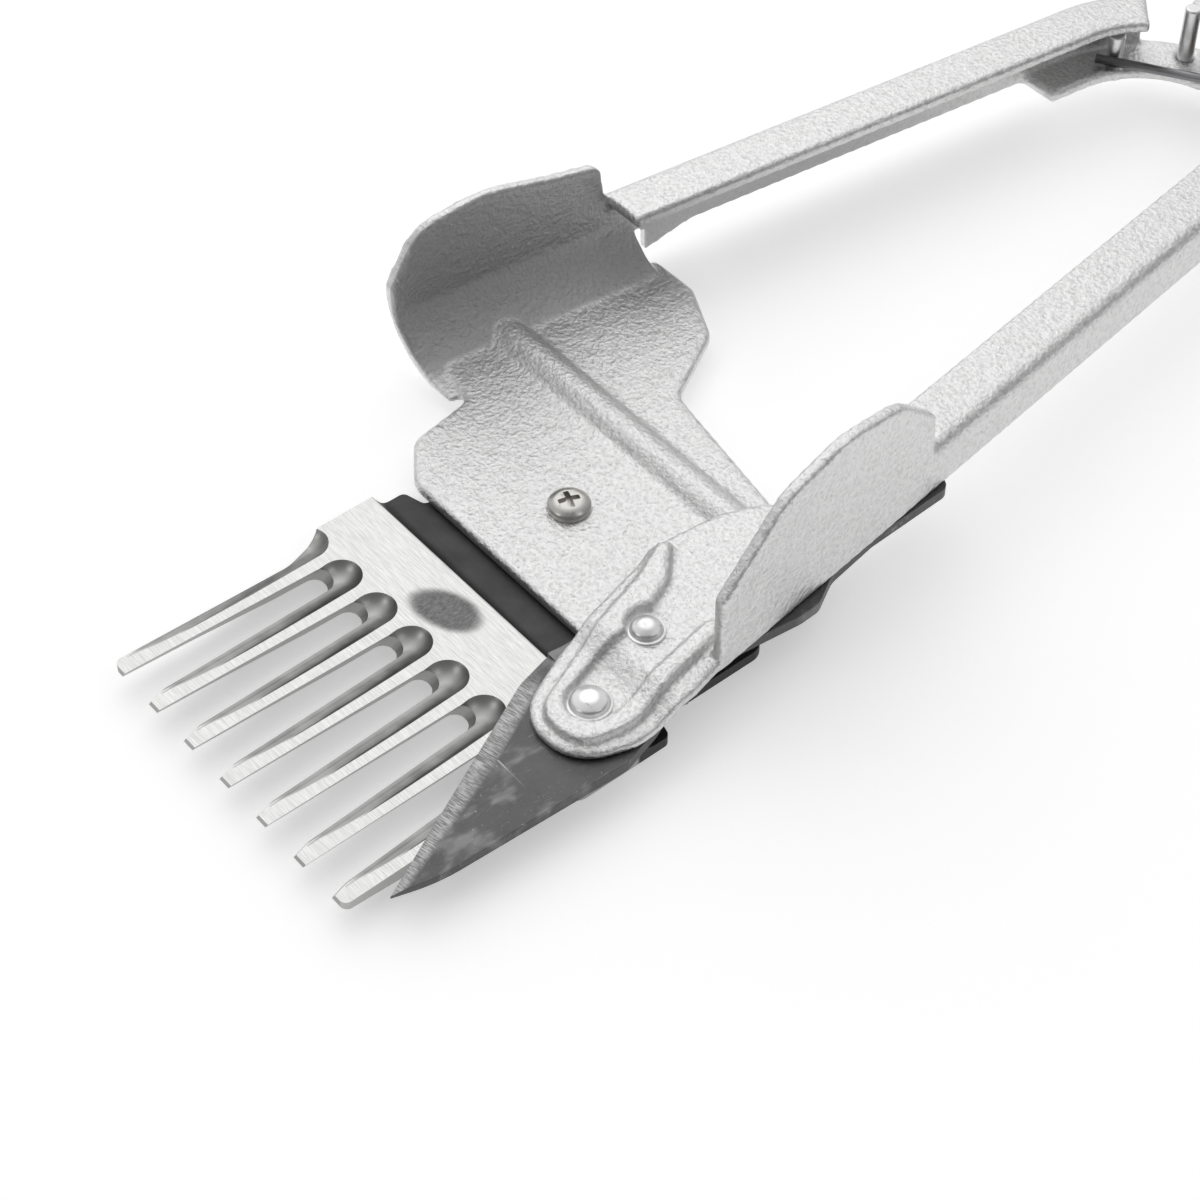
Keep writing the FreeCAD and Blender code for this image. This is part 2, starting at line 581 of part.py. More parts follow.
def build_blade():
    """Forged blade: flat over the comb, stepped up behind it, with a ground bevel on its cutting edge."""
    blade = new_body("blade")
    low = size("blade_low")
    step = size("blade_crank")
    side_view(blade, "blade_view",
              [(-56.0, low), (crank_front, low, crank_bend), (crank_back, low + step, crank_bend),
               (100.0, low + step), (100.0, arm_low), (crank_back, arm_low, crank_bend),
               (crank_front, blade_high, crank_bend), (-20.0, blade_high, 30.0), (-56.0, blade_high - 1.3)],
              0.0, 60.0)
    trim_to(blade, "blade_outline", BLADE)
    # The ground bevel runs straight from the tip to the heel of the cutting edge.
    slant = (17.2 - 41.8) / (-4.0 + 53.8)
    start = -60.0
    edge = 41.8 + slant * (start + 53.8)
    wide = 5.6
    edge_low = low + 0.5
    edge_high = edge_low + 2.0 * (blade_high - edge_low)
    bevel = sketch_on(blade, "bevel_section", "XZ_Plane", str(-start))
    trace(bevel, [(edge - 0.2, edge_low), (edge + 2.0 * wide, edge_high), (edge - 30.0, edge_high),
                  (edge - 30.0, edge_low)])
    ground = blade.newObject("PartDesign::Pocket", "bevel_cut")
    ground.Profile = bevel
    ground.UseCustomVector = True
    ground.Direction = FreeCAD.Vector(slant, 1.0, 0.0)
    ground.Length = 64.0
    doc.recompute()
    holes = sketch_on(blade, "blade_holes", "XY_Plane", "Sizes.handle_high")
    for rivet in (front_rivet, rear_rivet):
        disc(holes, *rivet, "Sizes.rivet_radius")
    cut(blade, holes, "blade_holes_cut", "Sizes.handle_high")
    return blade


def turned(label, x, y, profile):
    """Solid of revolution about an upright axis at (x, y); profile is (radius, height) corners."""
    body = new_body(label)
    section = sketch_on(body, label + "_section", "XZ_Plane")
    trace(section, profile)
    spun = body.newObject("PartDesign::Revolution", label + "_turned")
    spun.Profile = section
    spun.ReferenceAxis = (section, ["V_Axis"])
    spun.Angle = 360.0
    body.Placement.Base = FreeCAD.Vector(x, y, 0.0)
    doc.recompute()
    return body


def build_rivet(label, place, underside, seat, dome_radius, dome):
    """Domed rivet: flush below the blade, spread over the arm with a thin collar."""
    shank = size("rivet_radius") - 0.01
    collar = dome_radius + size("rivet_collar")
    return turned(label, *place, [
        (0.0, underside + 0.05), (shank, underside + 0.05), (shank, seat), (collar, seat),
        (collar, seat + 0.4, 0.2), (dome_radius, seat + 0.5, 0.2), (dome_radius * 0.93, seat + dome * 0.6, 1.2),
        (dome_radius * 0.45, seat + dome * 0.95, 2.4), (0.0, seat + dome)])


def build_hinge():
    """Hinge hardware: domed bolt from below, bush between the lugs, friction washers, washer and nut."""
    lug_top = size("lug_low") + size("wall_thick")
    upper = size("handle_high") - size("wall_thick")
    top = size("handle_high")
    low = size("lug_low")
    shank = size("hinge_radius") - 0.01
    bolt_top = top + 8.0
    bore = size("hinge_radius") + 0.02
    place = (middle, hinge_back)
    parts = [
        turned("hinge_bolt", *place, [
            (0.0, low - 3.4), (5.5, low - 2.6, 2.0), (8.5, low - 0.9, 0.7), (8.5, low), (shank, low),
            (shank, bolt_top, 0.6), (0.0, bolt_top)]),
        turned("lower_friction_washer", *place, [(bore, lug_top), (8.0, lug_top), (8.0, lug_top + 0.6),
                                                 (bore, lug_top + 0.6)]),
        turned("hinge_bush", *place, [(bore, lug_top + 0.6), (6.4, lug_top + 0.6, 0.4), (6.4, upper - 0.7, 0.4),
                                      (bore, upper - 0.7)]),
        turned("upper_friction_washer", *place, [(bore, upper - 0.7), (8.0, upper - 0.7), (8.0, upper - 0.1),
                                                 (bore, upper - 0.1)]),
        turned("hinge_washer", *place, [(bore, top + 0.1), (8.0, top + 0.1, 0.2), (8.0, top + 1.5, 0.3),
                                        (bore, top + 1.5)]),
    ]
    nut = new_body("hinge_nut")
    hexagon = sketch_on(nut, "nut_hexagon", "XY_Plane", str(top + 1.5))
    across = 6.5 / math.cos(math.radians(30.0))
    turns = [math.radians(60.0 * corner) for corner in range(6)]
    trace(hexagon, [(across * math.cos(turn), across * math.sin(turn)) for turn in turns])
    disc(hexagon, 0.0, 0.0, "Sizes.hinge_radius + 0.02")
    pad(nut, hexagon, "nut_pad", "5.5")
    crown = sketch_on(nut, "nut_crown", "XZ_Plane")
    trace(crown, [(6.5, top + 7.1), (8.0, top + 6.2), (8.0, top + 7.1)])
    groove = nut.newObject("PartDesign::Groove", "nut_crown_cut")
    groove.Profile = crown
    groove.ReferenceAxis = (crown, ["V_Axis"])
    groove.Angle = 360.0
    nut.Placement.Base = FreeCAD.Vector(middle, hinge_back, 0.0)
    doc.recompute()
    return parts + [nut]


def spring_ends():
    """Each leg's line, touching the coil's circle and its post: both touching points, and the angle."""
    ends = []
    reach = size("post_radius") + size("spring_wire") / 2.0 + 0.05
    centre = (middle, hinge_back)
    for side in (-1, 1):
        post = post_place(side)
        toward = math.atan2(post[1] - centre[1], post[0] - centre[0])
        swing = math.acos((size("coil_radius") - reach) / math.dist(post, centre))
        angle = toward - side * swing
        across = (math.cos(angle), math.sin(angle))
        leave = (centre[0] + size("coil_radius") * across[0], centre[1] + size("coil_radius") * across[1])
        touch = (post[0] + reach * across[0], post[1] + reach * across[1])
        ends.append((leave, touch, angle))
    return ends


def build_return_spring():
    """Torsion spring: turns round the bush, one leg behind each post, pushing the handles apart."""
    (left_leave, left_touch, left_angle), (right_leave, right_touch, right_angle) = spring_ends()
    sweep = (right_angle - left_angle) % (2.0 * math.pi)
    turns = size("coil_turns") + sweep / (2.0 * math.pi)
    height = turns * size("coil_pitch")
    low = size("coil_low")
    helix = Part.makeHelix(size("coil_pitch"), height, size("coil_radius"))
    wire_radius = size("spring_wire") / 2.0
    start = FreeCAD.Vector(size("coil_radius"), 0.0, 0.0)
    slope = FreeCAD.Vector(0.0, 2.0 * math.pi * size("coil_radius"), size("coil_pitch"))
    section = Part.Wire(Part.Circle(start, slope, wire_radius).toShape())
    coil = Part.Wire(helix.Edges).makePipeShell([section], True, True)
    coil.rotate(FreeCAD.Vector(0, 0, 0), FreeCAD.Vector(0, 0, 1), math.degrees(left_angle))
    coil.translate(FreeCAD.Vector(middle, hinge_back, low))
    legs = []
    for leave, touch, level in ((left_leave, left_touch, low), (right_leave, right_touch, low + height)):
        foot = FreeCAD.Vector(*leave, level)
        run = FreeCAD.Vector(*touch, level) - foot
        beyond = run * ((run.Length + 4.0) / run.Length)
        legs.append(Part.makeCylinder(wire_radius, beyond.Length, foot, beyond))
        legs.append(Part.makeSphere(wire_radius, foot))
    spring = doc.addObject("Part::Feature", "return_spring")
    spring.Label = "return_spring"
    spring.Shape = coil.fuse(legs)
    return spring


def build_posts():
    """Spring posts riveted in each half, and the stop pin beside the upper lug's tab."""
    low = size("lug_low")
    top = size("handle_high")
    radius = size("post_radius") - 0.01
    head = 3.2
    left = turned("left_spring_post", *post_place(-1), [
        (0.0, low - 1.0), (head, low - 1.0, 0.5), (head, low), (radius, low), (radius, low + 10.5, 0.5),
        (0.0, low + 10.5)])
    right = turned("right_spring_post", *post_place(1), [
        (0.0, top - 12.5), (radius, top - 12.5, 0.5), (radius, top), (head, top), (head, top + 1.0, 0.5),
        (0.0, top + 1.0)])
    pin = turned("stop_pin", *stop_place(), [
        (0.0, low - 1.0), (head, low - 1.0, 0.5), (head, low), (radius, low), (radius, top + 0.5, 0.6),
        (0.0, top + 0.5)])
    return [left, right, pin]


# ---------------------------------------------------------------- build, check, write

nodes = [build_comb(), build_comb_screws(), build_comb_carrier(), build_blade_carrier(), build_blade()]
nodes.append(build_rivet("front_rivet", front_rivet, size("blade_low"), nose_high, 4.0, 2.4))
nodes.append(build_rivet("rear_rivet", rear_rivet, size("blade_low") + size("blade_crank"),
                         arm_high - size("seat_deep"), 3.3, 2.4))
nodes += build_hinge()
nodes.append(build_return_spring())
nodes += build_posts()
doc.recompute()

for item in doc.Objects:
    if "Invalid" in item.State or "Error" in item.State:
        raise ValueError(f"{item.Name} failed: {item.State}")
os.makedirs("parts", exist_ok=True)
for node in nodes:
    if node.Shape.isNull() or not node.Shape.isValid():
        raise ValueError(f"{node.Label} has no valid shape")
    print(f"{node.Label}: {len(node.Shape.Solids)} solid, {node.Shape.Volume:.1f} cubic mm")
    node.Shape.exportStep(f"parts/{node.Label}.step")
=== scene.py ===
import math

import bmesh
import bpy
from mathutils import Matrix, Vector


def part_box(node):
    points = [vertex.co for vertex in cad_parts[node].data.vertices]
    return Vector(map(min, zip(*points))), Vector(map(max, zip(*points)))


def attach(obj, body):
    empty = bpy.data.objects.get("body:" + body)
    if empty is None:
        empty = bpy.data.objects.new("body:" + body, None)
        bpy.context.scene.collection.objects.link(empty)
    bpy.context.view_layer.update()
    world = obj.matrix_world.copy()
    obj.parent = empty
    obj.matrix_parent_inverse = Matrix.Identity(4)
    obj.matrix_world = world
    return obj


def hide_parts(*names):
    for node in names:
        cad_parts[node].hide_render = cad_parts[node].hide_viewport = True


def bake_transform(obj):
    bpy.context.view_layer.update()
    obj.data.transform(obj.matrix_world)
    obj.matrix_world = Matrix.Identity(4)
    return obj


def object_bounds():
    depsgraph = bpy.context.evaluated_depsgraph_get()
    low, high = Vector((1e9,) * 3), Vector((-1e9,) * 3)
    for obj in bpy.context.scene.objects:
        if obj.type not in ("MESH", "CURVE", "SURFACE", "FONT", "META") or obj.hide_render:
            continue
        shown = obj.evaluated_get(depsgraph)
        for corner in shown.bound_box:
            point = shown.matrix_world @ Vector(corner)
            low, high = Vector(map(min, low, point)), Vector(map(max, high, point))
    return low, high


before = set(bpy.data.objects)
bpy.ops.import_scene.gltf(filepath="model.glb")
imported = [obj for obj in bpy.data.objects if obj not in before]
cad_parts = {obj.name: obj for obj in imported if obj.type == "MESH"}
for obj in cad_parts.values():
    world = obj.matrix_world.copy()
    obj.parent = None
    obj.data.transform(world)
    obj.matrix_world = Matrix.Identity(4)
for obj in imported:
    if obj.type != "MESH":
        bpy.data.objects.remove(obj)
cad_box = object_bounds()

# ------------------------------------------------------------------ comb half: cast carrier
# The left half of the shears is one casting: clamp plate, guard, handle and the lower hinge lug.
# It is malleable iron, sand cast and hot-dipped in tin, so every edge is soft and the skin is pimpled.
COMB_CASTING_GRAIN = 0.00056
CAST_SMOOTHING = 9
GUARD_INNER_X = (-0.062, -0.050)


def cast_skin(name, node, body, grain, rounds):
    """Soft-edged casting: the node's solid, skinned at one grain size and relaxed."""
    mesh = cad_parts[node].data.copy()
    solid = bmesh.new()
    solid.from_mesh(mesh)
    bmesh.ops.remove_doubles(solid, verts=solid.verts, dist=1e-6)
    bmesh.ops.recalc_face_normals(solid, faces=solid.faces)
    solid.to_mesh(mesh)
    solid.free()
    mesh.materials.clear()
    rough = bpy.data.objects.new(name + "_rough", mesh)
    bpy.context.scene.collection.objects.link(rough)
    skin = rough.modifiers.new("skin", "REMESH")
    skin.mode = "VOXEL"
    skin.voxel_size = grain
    graph = bpy.context.evaluated_depsgraph_get()
    skinned = bpy.data.meshes.new_from_object(rough.evaluated_get(graph))
    bpy.data.objects.remove(rough)
    surface = bmesh.new()
    surface.from_mesh(skinned)
    for _ in range(rounds):
        bmesh.ops.smooth_vert(surface, verts=surface.verts, factor=0.5,
                              use_axis_x=True, use_axis_y=True, use_axis_z=True)
    for face in surface.faces:
        face.smooth = True
    surface.to_mesh(skinned)
    surface.free()
    piece = bpy.data.objects.new(name, skinned)
    bpy.context.scene.collection.objects.link(piece)
    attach(piece, body)
    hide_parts(node)
    return piece


class Wire:
    """A shader socket that takes part in plain arithmetic."""

    def __init__(self, finish, socket):
        self.finish = finish
        self.socket = socket

    def maths(self, operation, *values):
        return self.finish.add("ShaderNodeMath", {"operation": operation}, dict(enumerate(values)))

    def __add__(self, other):
        return self.maths("ADD", self, other)

    def __sub__(self, other):
        return self.maths("SUBTRACT", self, other)

    def __mul__(self, other):
        return self.maths("MULTIPLY", self, other)

    def __pow__(self, other):
        return self.maths("POWER", self, other)

    def __rsub__(self, other):
        return self.maths("SUBTRACT", other, self)

    __radd__ = __add__
    __rmul__ = __mul__


class Finish:
    """One material: a Principled shader and the nodes that vary it over the surface."""

    def __init__(self, name, **constants):
        self.material = bpy.data.materials.new(name)
        self.material.use_nodes = True
        self.tree = self.material.node_tree
        self.shader = self.tree.nodes["Principled BSDF"]
        for socket, value in constants.items():
            self.shader.inputs[socket.replace("_", " ")].default_value = value
        self.place = self.add("ShaderNodeTexCoord", {}, {}, "Object")
        self.normal = self.add("ShaderNodeNewGeometry", {}, {}, "Normal")

    def add(self, kind, settings, inputs, output=0):
        """Adds a node: its settings first, then the values or links of its sockets."""
        node = self.tree.nodes.new(kind)
        for key, value in settings.items():
            setattr(node, key, value)
        for key, value in inputs.items():
            if isinstance(value, Wire):
                self.tree.links.new(value.socket, node.inputs[key])
            else:
                node.inputs[key].default_value = value
        return Wire(self, node.outputs[output])

    def noise(self, scale, detail=3.0, roughness=0.55, stretch=(1.0, 1.0, 1.0), turn=(0.0, 0.0, 0.0)):
        """Cloudy grey pattern; scale is in features per metre."""
        place = self.add("ShaderNodeMapping", {},
                         {"Vector": self.place, "Scale": stretch, "Rotation": turn})
        return self.add("ShaderNodeTexNoise", {},
                        {"Vector": place, "Scale": scale, "Detail": detail, "Roughness": roughness})

    def part(self, vector, axis):
        return self.add("ShaderNodeSeparateXYZ", {}, {"Vector": vector}, axis)

    def between(self, wire, low, high):
        """0 below low, 1 above high, smooth between."""
        return self.add("ShaderNodeMapRange", {"interpolation_type": "SMOOTHSTEP"},
                        {"Value": wire, "From Min": low, "From Max": high})

    def blend(self, factor, first, second):
        """Mix of two colours, each a grey number, an (r, g, b) or a wire."""
        def colour(value):
            if isinstance(value, Wire):
                return value
            if isinstance(value, (int, float)):
                return (value, value, value, 1.0)
            return tuple(value) + (1.0,)
        return self.add("ShaderNodeMix", {"data_type": "RGBA"},
                        {0: factor, 6: colour(first), 7: colour(second)}, 2)

    def raise_by(self, height, distance, strength=1.0, over=None):
        """Bump that lifts the surface by distance metres where height is 1, over another bump."""
        inputs = {"Height": height, "Distance": distance, "Strength": strength}
        if over is not None:
            inputs["Normal"] = over
        return self.add("ShaderNodeBump", {}, inputs)

    def feed(self, **wires):
        for socket, wire in wires.items():
            self.tree.links.new(wire.socket, self.shader.inputs[socket.replace("_", " ")])
        return self.material


def tinned_casting():
    """Bright tin over a sand-cast skin: soft swells, orange peel, finer sparkle and dull pits, with
    painted shade on the left guard's inner face.
    """
    tin = Finish("tinned_casting", Metallic=1.0)
    across = tin.part(tin.place, 0)
    facing_right = tin.part(tin.normal, 0)
    swell = tin.noise(330.0, 2.0)
    peel = tin.noise(1050.0, 2.0, 0.5)
    sparkle = tin.noise(2600.0, 3.0, 0.65)
    pit = tin.between(tin.noise(1500.0, 4.0, 0.7), 0.60, 0.68)
    patch = tin.noise(60.0, 4.0, 0.6)
    tone = tin.blend(patch, (0.68, 0.68, 0.68), (0.82, 0.82, 0.817))
    tone = tin.blend(tin.between(peel, 0.30, 0.60), (0.64, 0.64, 0.635), tone)
    tone = tin.blend(pit * 0.45, tone, (0.24, 0.235, 0.23))
    # Painted shade: right-facing faces on the left guard's inner side are darkened towards a 0.26 to
    # 0.50 grey and made a little rougher.
    guard_inner_painted_shade = (1.0 - tin.between(across, *GUARD_INNER_X)) * tin.between(facing_right, 0.15, 0.45)
    tone = tin.blend(guard_inner_painted_shade * 0.8, tone, tin.blend(sparkle, 0.26, 0.50))
    shine = 0.27 + patch * 0.12 + sparkle * 0.12 + pit * 0.2 + guard_inner_painted_shade * 0.1
    body = tin.raise_by(swell, 0.0004, 0.8)
    body = tin.raise_by(peel, 0.00036, 0.8, body)
    body = tin.raise_by(sparkle, 0.00012, 1.0, body)
    return tin.feed(Base_Color=tone, Roughness=shine, Normal=body)


tinned = tinned_casting()
comb_casting = cast_skin("comb_casting", "comb_carrier", "comb_half", COMB_CASTING_GRAIN,
                         CAST_SMOOTHING)
comb_casting.data.materials.append(tinned)

# ------------------------------------------------------------------ comb
# The comb is a steel forging. Its top is ground flat and bright, with a hollow ground beside each tooth,
# and it keeps its dark forged skin in the rear hollow. Two screws hold it under the clamp plate.
COMB_EDGE = 0.00012


def machined(name, node, body, edge, finish, angle=35.0):
    """The node's solid with its sharp edges broken by a small bevel."""
    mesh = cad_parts[node].data.copy()
    solid = bmesh.new()
    solid.from_mesh(mesh)
    bmesh.ops.remove_doubles(solid, verts=solid.verts, dist=1e-6)
    bmesh.ops.dissolve_limit(solid, angle_limit=math.radians(0.5), verts=solid.verts, edges=solid.edges)
    for face in solid.faces:
        face.smooth = True
    solid.to_mesh(mesh)
    solid.free()
    mesh.materials.clear()
    mesh.materials.append(finish)
    piece = bpy.data.objects.new(name, mesh)
    bpy.context.scene.collection.objects.link(piece)
    bevel = piece.modifiers.new("broken_edges", "BEVEL")
    bevel.width = edge
    bevel.segments = 2
    bevel.limit_method = "ANGLE"
    bevel.angle_limit = math.radians(angle)
    bevel.material = -1
    bevel.profile = 0.5
    even = piece.modifiers.new("even_shading", "WEIGHTED_NORMAL")
    even.mode = "FACE_AREA"
    even.weight = 50
    even.keep_sharp = True
    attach(piece, body)
    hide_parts(node)
    return piece


comb_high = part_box("comb")[1]
GROUND_FACE_Z = (comb_high.z - 0.0003, comb_high.z - 0.0001)
GROUND_FACE_END_Y = (0.0042, 0.0052)
MARK_CENTRE = (-0.0079, -0.0029)
MARK_TURN = 0.347
MARK_HALF_LENGTH = 1.0 / 118.0
MARK_HALF_WIDTH = 1.0 / 205.0


def ground_comb_steel():
    """Ground top with fine grinding lines, smoother hollows and dark forged skin behind; off the top,
    faces are painted light where they face right and painted shade where they face left, and faces that
    point down get painted shade.
    """
    steel = Finish("ground_comb_steel", Metallic=1.0)
    up = steel.part(steel.normal, 2)
    height = steel.part(steel.place, 2)
    back = steel.part(steel.place, 1)
    across = steel.part(steel.place, 0)
    flat_top = steel.between(up, 0.985, 0.998) * steel.between(height, *GROUND_FACE_Z)
    lines = steel.noise(260.0, 3.0, 0.65, stretch=(1.0, 26.0, 1.0), turn=(0.0, 0.0, 0.12))
    cloud = steel.noise(120.0, 3.0)
    bright = steel.blend(steel.between(lines, 0.3, 0.7), (0.46, 0.46, 0.455), (0.66, 0.66, 0.65))
    shaded = steel.blend(steel.between(cloud, 0.3, 0.7), (0.12, 0.12, 0.117), (0.25, 0.25, 0.245))
    # Painted light and shade: off the ground top, right-facing faces take a lit 0.46 grey and
    # left-facing faces the dark shaded tone.
    facing_right = steel.between(steel.part(steel.normal, 0), -0.30, 0.30)
    hollow_painted_light_and_shade = steel.blend(facing_right, shaded, (0.46, 0.46, 0.45))
    skin = steel.blend(cloud, (0.045, 0.045, 0.045), (0.11, 0.11, 0.11))
    rear = steel.between(back, *GROUND_FACE_END_Y)
    # Painted shade: faces that point down are blended towards a flat 0.2 grey.
    down_facing_painted_shade = 1.0 - steel.between(up, -0.75, -0.35)
    tone = steel.blend(flat_top, hollow_painted_light_and_shade, bright)
    tone = steel.blend(rear, tone, skin)
    tone = steel.blend(down_facing_painted_shade * 0.6, tone, (0.2, 0.2, 0.2))
    # Where a thumb has dulled the ground face.
    cosine = math.cos(MARK_TURN)
    sine = math.sin(MARK_TURN)
    right = across - MARK_CENTRE[0]
    rearward = back - MARK_CENTRE[1]
    mark_x = right * cosine + rearward * sine
    mark_y = rearward * cosine - right * sine
    spread = (mark_x * (1.0 / MARK_HALF_LENGTH)) ** 2.0 + (mark_y * (1.0 / MARK_HALF_WIDTH)) ** 2.0
    mark = 1.0 - steel.between(spread + cloud * 0.5, 0.75, 1.5)
    scratch = steel.noise(900.0, 4.0, 0.7, stretch=(3.0, 1.0, 1.0))
    mark = mark * flat_top * (0.55 + scratch * 0.7)
    tone = steel.blend(mark, tone, (0.12, 0.12, 0.12))
    shine = 0.24 + lines * 0.12 + mark * 0.2 + rear * 0.16 + (1.0 - flat_top) * 0.08
    body = steel.raise_by(lines, 0.00004, 0.5)
    body = steel.raise_by(scratch * rear, 0.0002, 0.5, body)
    return steel.feed(Base_Color=tone, Roughness=shine, Normal=body)


machined("ground_comb", "comb", "comb_half", COMB_EDGE, ground_comb_steel())

# ------------------------------------------------------------------ comb screws
# Two plated pan-head screws with cross recesses go down through the clamp plate into the comb.
# Their heads are satin from the plating.
SCREW_EDGE = 0.0001


def satin_steel(name, tone_low, tone_high, rough, scale=600.0):
    """Plated or turned steel with faint turning marks and handling wear."""
    steel = Finish(name, Metallic=1.0)
    wear = steel.noise(scale, 4.0, 0.6)
    patch = steel.noise(scale * 0.2, 2.0)
    tone = steel.blend(patch, tone_low, tone_high)
    tone = steel.blend(steel.between(wear, 0.58, 0.72) * 0.4, tone, 0.22)
    body = steel.raise_by(wear, 0.00005, 0.4)
    return steel.feed(Base_Color=tone, Roughness=rough + wear * 0.15, Normal=body)


screw_steel = satin_steel("screw_steel", (0.42, 0.41, 0.39), (0.62, 0.61, 0.585), 0.22)
machined("pan_head_screws", "comb_screws", "comb_half", SCREW_EDGE, screw_steel)

# ------------------------------------------------------------------ blade half: cast carrier
# The right half is a second casting of the same metal: arm, guard, handle and the upper hinge lug.
# It is cast a little crisper than the left half, so its ribs keep their shape.
BLADE_CASTING_GRAIN = 0.00048
blade_casting = cast_skin("blade_casting", "blade_carrier", "blade_half", BLADE_CASTING_GRAIN,
                          CAST_SMOOTHING)
blade_casting.data.materials.append(tinned)


# ------------------------------------------------------------------ blade
# The blade is forged from tool steel and left dark. Only the bevel of its cutting edge is ground,
# with the wheel's scratches running across it. Two rivets hold it under the arm.
BLADE_EDGE = 0.0003
BLADE_SHARP_ANGLE = 25.0
CUTTING_BEVEL_END_Y = (-0.006, 0.002)


def forged_blade_steel():
    """Dark scale with rubbed patches and scratches, and a lighter ground bevel."""
    steel = Finish("forged_blade_steel", Metallic=1.0)
    slope = steel.part(steel.normal, 0)
    up = steel.part(steel.normal, 2)
    cloud = steel.noise(90.0, 5.0, 0.65)
    speck = steel.noise(1400.0, 3.0, 0.7)
    scratch = steel.noise(260.0, 4.0, 0.7, stretch=(14.0, 1.0, 1.0), turn=(0.0, 0.0, 0.5))
    grind = steel.noise(300.0, 3.0, 0.7, stretch=(1.0, 16.0, 1.0), turn=(0.0, 0.0, -0.35))
    back = steel.part(steel.place, 1)
    rubbed = steel.between(steel.noise(70.0, 3.0, 0.6, stretch=(2.0, 1.0, 1.0)), 0.52, 0.66)
    tone = steel.blend(cloud, (0.07, 0.07, 0.07), (0.17, 0.17, 0.17))
    tone = steel.blend(rubbed * 0.6, tone, (0.30, 0.30, 0.30))
    tone = steel.blend(steel.between(scratch, 0.60, 0.75) * 0.5, tone, 0.42)
    tone = steel.blend(steel.between(speck, 0.64, 0.74) * 0.7, tone, 0.5)
    bevel = steel.between(slope * -1.0, 0.12, 0.3) * steel.between(up, 0.5, 0.7)
    bevel = bevel * (1.0 - steel.between(back, *CUTTING_BEVEL_END_Y))
    tone = steel.blend(bevel, tone, steel.blend(steel.between(grind, 0.38, 0.62), 0.20, 0.52))
    shine = 0.40 + cloud * 0.16 - bevel * 0.06
    body = steel.raise_by(cloud, 0.0006, 0.35)
    body = steel.raise_by(speck + scratch, 0.00008, 0.5, body)
    return steel.feed(Base_Color=tone, Roughness=shine, Normal=body)


machined("forged_blade", "blade", "blade_half", BLADE_EDGE, forged_blade_steel(),
         BLADE_SHARP_ANGLE)

# ------------------------------------------------------------------ rivets, posts and hinge pieces
# Bright domed rivets hold the blade; the spring posts and the stop are pressed into the castings.
# The hinge is a zinc-plated bolt, bush, washer and nut, with brass friction washers between the lugs.
SMALL_EDGE = 0.00015
rivet_steel = satin_steel("rivet_steel", (0.66, 0.66, 0.66), (0.84, 0.84, 0.84), 0.26, 900.0)
hinge_steel = satin_steel("hinge_steel", (0.52, 0.52, 0.53), (0.70, 0.70, 0.71), 0.24)
washer_brass = satin_steel("washer_brass", (0.55, 0.40, 0.16), (0.76, 0.58, 0.27), 0.22)
SMALL_PIECES = (
    ("front_rivet", "domed_front_rivet", "blade_half", "rivet_steel", rivet_steel),
    ("rear_rivet", "domed_rear_rivet", "blade_half", "rivet_steel", rivet_steel),
    ("right_spring_post", "right_post", "blade_half", "rivet_steel", rivet_steel),
    ("left_spring_post", "left_post", "comb_half", "rivet_steel", rivet_steel),
    ("stop_pin", "opening_stop", "comb_half", "rivet_steel", rivet_steel),
    ("hinge_bolt", "pivot_bolt", "comb_half", "hinge_steel", hinge_steel),
    ("hinge_bush", "pivot_bush", "comb_half", "hinge_steel", hinge_steel),
    ("hinge_washer", "pivot_washer", "comb_half", "hinge_steel", hinge_steel),
    ("hinge_nut", "pivot_nut", "comb_half", "hinge_steel", hinge_steel),
    ("lower_friction_washer", "lower_brass_washer", "comb_half", "washer_brass", washer_brass),
    ("upper_friction_washer", "upper_brass_washer", "comb_half", "washer_brass", washer_brass),
)
for node, name, body, slot, finish in SMALL_PIECES:
    machined(name, node, body, SMALL_EDGE, finish)

# ------------------------------------------------------------------ return spring
# A torsion spring of oiled steel wire sits round the bush, between the lugs.
# Each of its legs presses on the post of one half; here the coil is one fixed piece, not attached to
# either half.
spring_steel = satin_steel("spring_steel", (0.16, 0.16, 0.165), (0.30, 0.30, 0.31), 0.26)
spring_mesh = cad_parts["return_spring"].data.copy()
wire = bmesh.new()
wire.from_mesh(spring_mesh)
bmesh.ops.remove_doubles(wire, verts=wire.verts, dist=1e-6)
for face in wire.faces:
    face.smooth = True
wire.to_mesh(spring_mesh)
wire.free()
spring_mesh.materials.clear()
spring_mesh.materials.append(spring_steel)
spring = bpy.data.objects.new("coil_spring", spring_mesh)
bpy.context.scene.collection.objects.link(spring)
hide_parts("return_spring")
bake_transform(spring)

# ------------------------------------------------------------------ stage, light and camera
# A plain white floor, a broad soft light from the left and above with two smaller lamps,
# and the camera in front, over the blade's side.
FLOOR_HALF_WIDTH = 3.0
FLOOR_DROP = 0.0002
floor_mesh = bpy.data.meshes.new("floor")
sheet = bmesh.new()
bmesh.ops.create_grid(sheet, x_segments=1, y_segments=1, size=FLOOR_HALF_WIDTH)
bmesh.ops.translate(sheet, verts=sheet.verts, vec=(0.0, 0.0, cad_box[0][2] - FLOOR_DROP))
sheet.to_mesh(floor_mesh)
sheet.free()
floor = bpy.data.objects.new("floor", floor_mesh)
bpy.context.scene.collection.objects.link(floor)
paper = Finish("white_paper", Roughness=0.9)
paper.shader.inputs["Base Color"].default_value = (0.80, 0.80, 0.80, 1.0)
paper.shader.inputs["Emission Color"].default_value = (1.0, 1.0, 1.0, 1.0)
paper.shader.inputs["Emission Strength"].default_value = 0.42
floor_mesh.materials.append(paper.material)

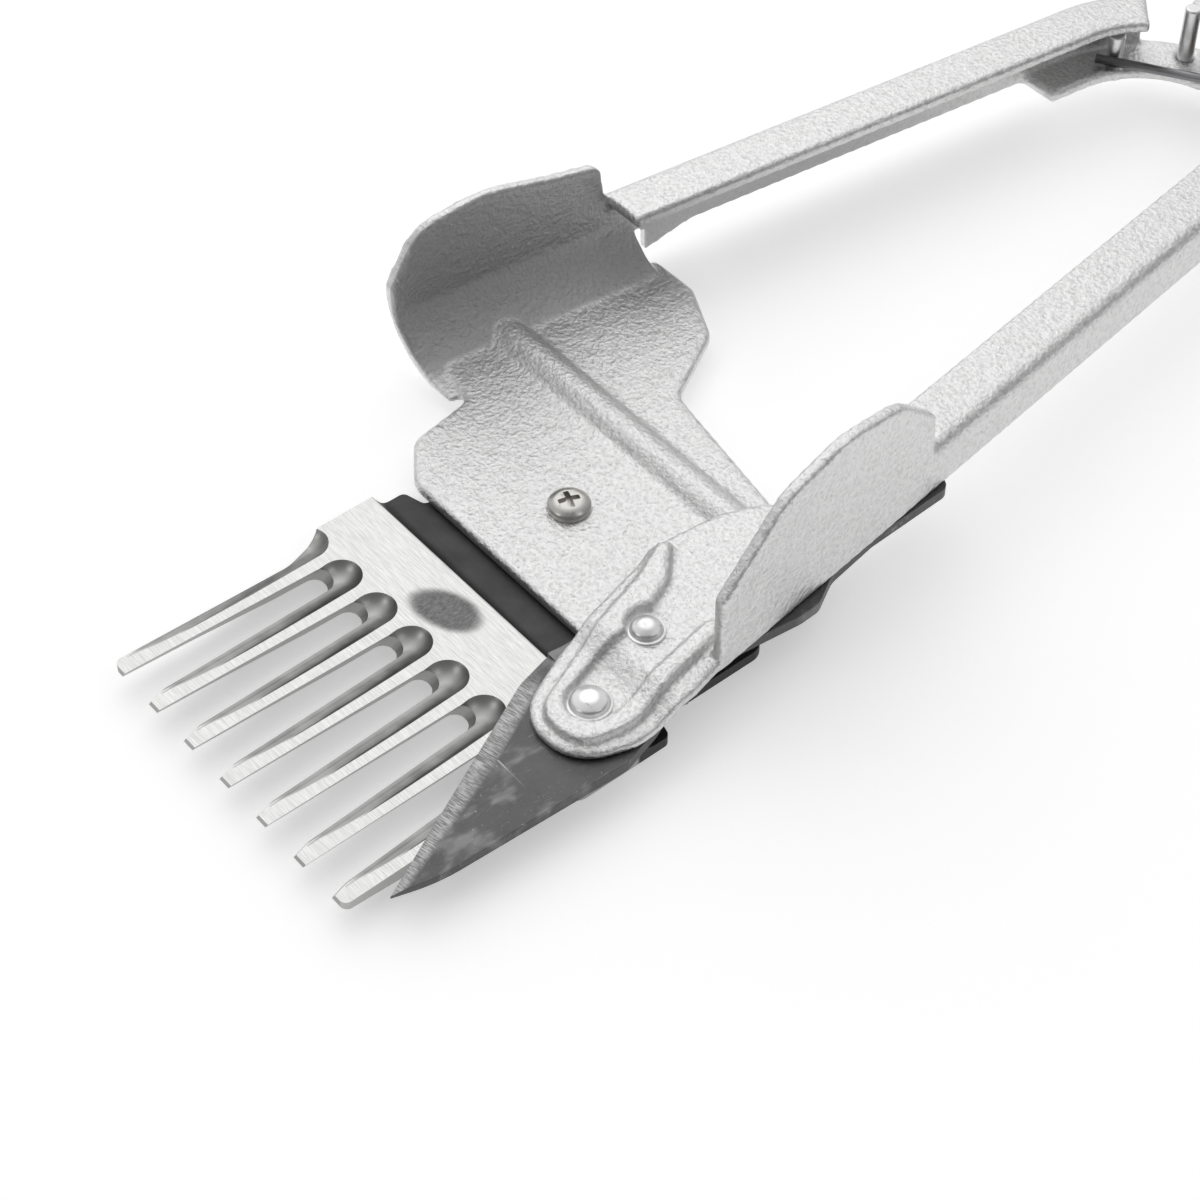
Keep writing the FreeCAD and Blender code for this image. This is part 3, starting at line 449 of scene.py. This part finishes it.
aim = Vector((0.0096, 0.0224, comb_high.z))
SOFTBOX_SIDE = Vector((-0.58, 0.34, 0.74)).normalized()
world = bpy.data.worlds.new("studio")
world.use_nodes = True
sky = world.node_tree
facing = sky.nodes.new("ShaderNodeVectorMath")
facing.operation = "DOT_PRODUCT"
facing.inputs[1].default_value = SOFTBOX_SIDE
sky.links.new(sky.nodes.new("ShaderNodeTexCoord").outputs["Generated"], facing.inputs[0])
fall = sky.nodes.new("ShaderNodeMapRange")
fall.interpolation_type = "SMOOTHSTEP"
fall.inputs["From Min"].default_value = 0.15
fall.inputs["From Max"].default_value = 1.0
fall.inputs["To Min"].default_value = 0.22
fall.inputs["To Max"].default_value = 1.05
sky.links.new(facing.outputs["Value"], fall.inputs["Value"])
sky.nodes["Background"].inputs["Color"].default_value = (1.0, 1.0, 1.0, 1.0)
sky.links.new(fall.outputs["Result"], sky.nodes["Background"].inputs["Strength"])
bpy.context.scene.world = world

# Each lamp's name, place from the aim, width and power.
LIGHTS = (
    ("softbox", SOFTBOX_SIDE * 0.95, 0.75, 0.9),
    ("window", Vector((-0.2, -0.9, 0.7)), 0.35, 0.8),
    ("rim", Vector((0.75, 0.35, 0.9)), 0.30, 0.5),
)
for name, place, width, power in LIGHTS:
    lamp = bpy.data.lights.new(name, "AREA")
    lamp.size = width
    lamp.energy = power
    holder = bpy.data.objects.new(name, lamp)
    bpy.context.scene.collection.objects.link(holder)
    holder.location = aim + place
    holder.rotation_euler = (aim - holder.location).to_track_quat("-Z", "Y").to_euler()

AZIMUTH = math.radians(50.27)
ELEVATION = math.radians(47.73)
DISTANCE = 0.55719
level = math.cos(ELEVATION)
toward_camera = Vector((level * math.sin(AZIMUTH), -level * math.cos(AZIMUTH), math.sin(ELEVATION)))
camera_data = bpy.data.cameras.new("camera")
camera_data.lens = 84.0
camera_data.sensor_width = 36.0
camera_data.clip_start = 0.01
camera = bpy.data.objects.new("camera", camera_data)
bpy.context.scene.collection.objects.link(camera)
camera.location = aim + toward_camera * DISTANCE
camera.rotation_euler = (-toward_camera).to_track_quat("-Z", "Y").to_euler()
bpy.context.scene.camera = camera
bpy.context.scene.view_settings.view_transform = "Standard"
